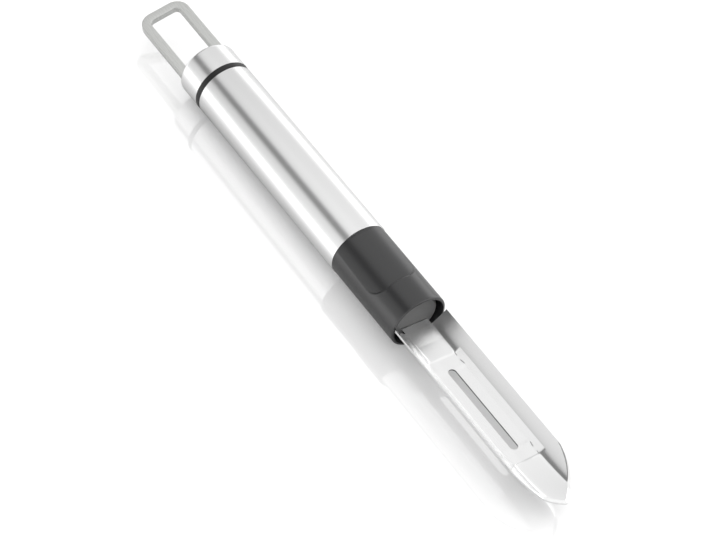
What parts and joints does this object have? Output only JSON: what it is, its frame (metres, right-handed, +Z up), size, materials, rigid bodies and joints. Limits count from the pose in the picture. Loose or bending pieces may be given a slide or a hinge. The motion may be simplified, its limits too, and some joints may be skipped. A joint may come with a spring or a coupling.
{
  "type": "vegetable peeler",
  "caption": "Hand peeler with a round metal handle, a hanging loop, a soft front grip with thumb scoops, and a slotted channel blade that swivels in the mouth of the grip.",
  "frame": {"origin": "middle of the length and width, on the table that the peeler lies on", "axes": "+X along the handle axis towards the blade tip, +Z up from the table; the blade hangs level and the handle has rolled 16 degrees about its own axis, +Y side up"},
  "size_m": [0.212, 0.019, 0.019],
  "materials": {
    "brushed_handle": "fine brushed stainless steel",
    "loop_steel": "satin stainless steel",
    "polished_blade": "mirror polished stainless steel",
    "soft_grip": "matt soft-touch",
    "ring_black": "satin moulded",
    "inner_plastic": "moulded",
    "carrier_plastic": "moulded",
    "pivot_steel": "turned",
    "bush_metal": "sintered"
  },
  "bodies": {
    "handle": {"handle_tube": "brushed_handle", "end_cap": "brushed_handle", "spacer_ring": "ring_black", "hanging_loop": "loop_steel", "loop_pin": "pivot_steel", "rear_plug": "inner_plastic", "collar_core": "inner_plastic", "front_collar": "soft_grip", "pivot_bush": "bush_metal", "stop_pin": "pivot_steel"},
    "swivel_blade": {"blade": "polished_blade", "blade_carrier": "carrier_plastic", "root_pins": "pivot_steel", "pivot_pin": "pivot_steel", "front_washer": "pivot_steel", "rear_washer": "pivot_steel", "retaining_clip": "pivot_steel"}
  },
  "joints": [
    {"name": "blade_swivel", "type": "hinge", "parent": "handle", "child": "swivel_blade", "pos_m": [0.02478, 0, 0.0095], "axis": [1, 0, 0], "range_deg": [-19, 51]}
  ]
}
